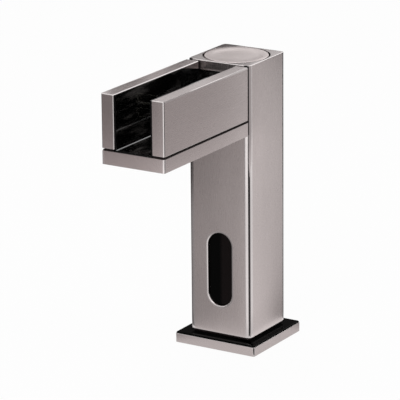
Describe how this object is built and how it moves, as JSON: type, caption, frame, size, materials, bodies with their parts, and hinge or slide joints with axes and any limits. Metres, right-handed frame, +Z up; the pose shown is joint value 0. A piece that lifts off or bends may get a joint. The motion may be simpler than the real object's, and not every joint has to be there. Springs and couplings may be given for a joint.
{
  "type": "sensor tap",
  "caption": "Square deck-mounted sensor tap with an open waterfall trough spout, an infrared window and a push button on top.",
  "frame": {"origin": "on the column's axis in the plane of the deck, on the foot's underside", "axes": "+Z up out of the deck, -Y from the column towards the end of the spout, +X to the right seen from the front"},
  "size_m": [0.0592, 0.1517, 0.189],
  "materials": {
    "brushed_nickel": "satin brushed nickel",
    "gloss_black": "gloss black",
    "black_rubber": "matt black rubber",
    "brass": "machined brass",
    "stainless": "turned stainless steel",
    "copper": "bare copper",
    "ivory_plastic": "moulded ivory plastic",
    "black_plastic": "moulded black plastic",
    "circuit_board": "green circuit board",
    "dark_lens": "dark infrared lens"
  },
  "bodies": {
    "tap": {"column_body": "brushed_nickel", "foot_block": "brass", "deck_plate": "brushed_nickel", "deck_plate_cover": "gloss_black", "foot_gasket": "black_rubber", "base_seal": "black_rubber", "column_grub_screws": "stainless", "spout_left_wall": "brushed_nickel", "spout_right_wall": "brushed_nickel", "spout_floor": "brushed_nickel", "wall_gaskets": "black_rubber", "trough_liner": "gloss_black", "spout_gasket": "black_rubber", "spout_floor_screws": "stainless", "spout_mount_screws": "stainless", "button_spring": "stainless", "button_guide": "brass", "guide_gasket": "black_rubber", "guide_nut": "brass", "switch_bracket": "stainless", "magnetic_switch": "black_plastic", "switch_lead_wire": "black_rubber", "inlet_strainer": "stainless", "check_valve_spring": "stainless", "check_valve_cage": "ivory_plastic", "inlet_adaptor": "brass", "inlet_tube": "copper", "inlet_tube_seals": "black_rubber", "valve_body": "ivory_plastic", "valve_diaphragm": "black_rubber", "valve_bonnet": "stainless", "plunger_spring": "stainless", "coil_bobbin": "black_plastic", "solenoid_coil": "copper", "coil_yoke": "stainless", "coil_nut": "brass", "valve_screws": "stainless", "coil_lead_wire": "black_rubber", "outlet_tube": "copper", "outlet_tube_seals": "black_rubber", "spout_manifold": "ivory_plastic", "manifold_screws": "stainless", "flow_screen": "black_plastic", "sensor_window": "dark_lens", "window_gasket": "black_rubber", "sensor_housing": "black_plastic", "sensor_board": "circuit_board", "ir_emitter": "ivory_plastic", "ir_receiver": "dark_lens", "sensor_cover": "black_plastic", "sensor_screws": "stainless", "supply_connector": "ivory_plastic", "cable_grommet": "black_rubber"},
    "push_button": {"button_cap": "brushed_nickel", "button_clip": "stainless", "button_magnet": "stainless"},
    "solenoid_plunger": {"plunger": "stainless"},
    "diaphragm_centre": {"diaphragm_insert": "ivory_plastic"},
    "check_valve": {"check_valve_poppet": "ivory_plastic"}
  },
  "joints": [
    {"name": "button_press", "type": "slide", "parent": "tap", "child": "push_button", "axis": [0, 0, -1], "range_m": [0, 0.002], "stiffness_N_per_m": 1200, "springref_m": -0.002, "deforming": ["button_spring"]},
    {"name": "plunger_lift", "type": "slide", "parent": "tap", "child": "solenoid_plunger", "axis": [0, 0, 1], "range_m": [0, 0.002], "stiffness_N_per_m": 250, "springref_m": -0.003, "deforming": ["plunger_spring"]},
    {"name": "diaphragm_lift", "type": "slide", "parent": "tap", "child": "diaphragm_centre", "axis": [0, 0, 1], "range_m": [0, 0.0012], "stiffness_N_per_m": 150, "springref_m": -0.001, "deforming": ["valve_diaphragm"]},
    {"name": "check_valve_lift", "type": "slide", "parent": "tap", "child": "check_valve", "axis": [0, 0, 1], "range_m": [0, 0.0015], "stiffness_N_per_m": 120, "springref_m": -0.002, "deforming": ["check_valve_spring"]}
  ],
  "couplings": [
    {"joint": "diaphragm_lift", "follows": "plunger_lift", "ratio": 0.6}
  ]
}
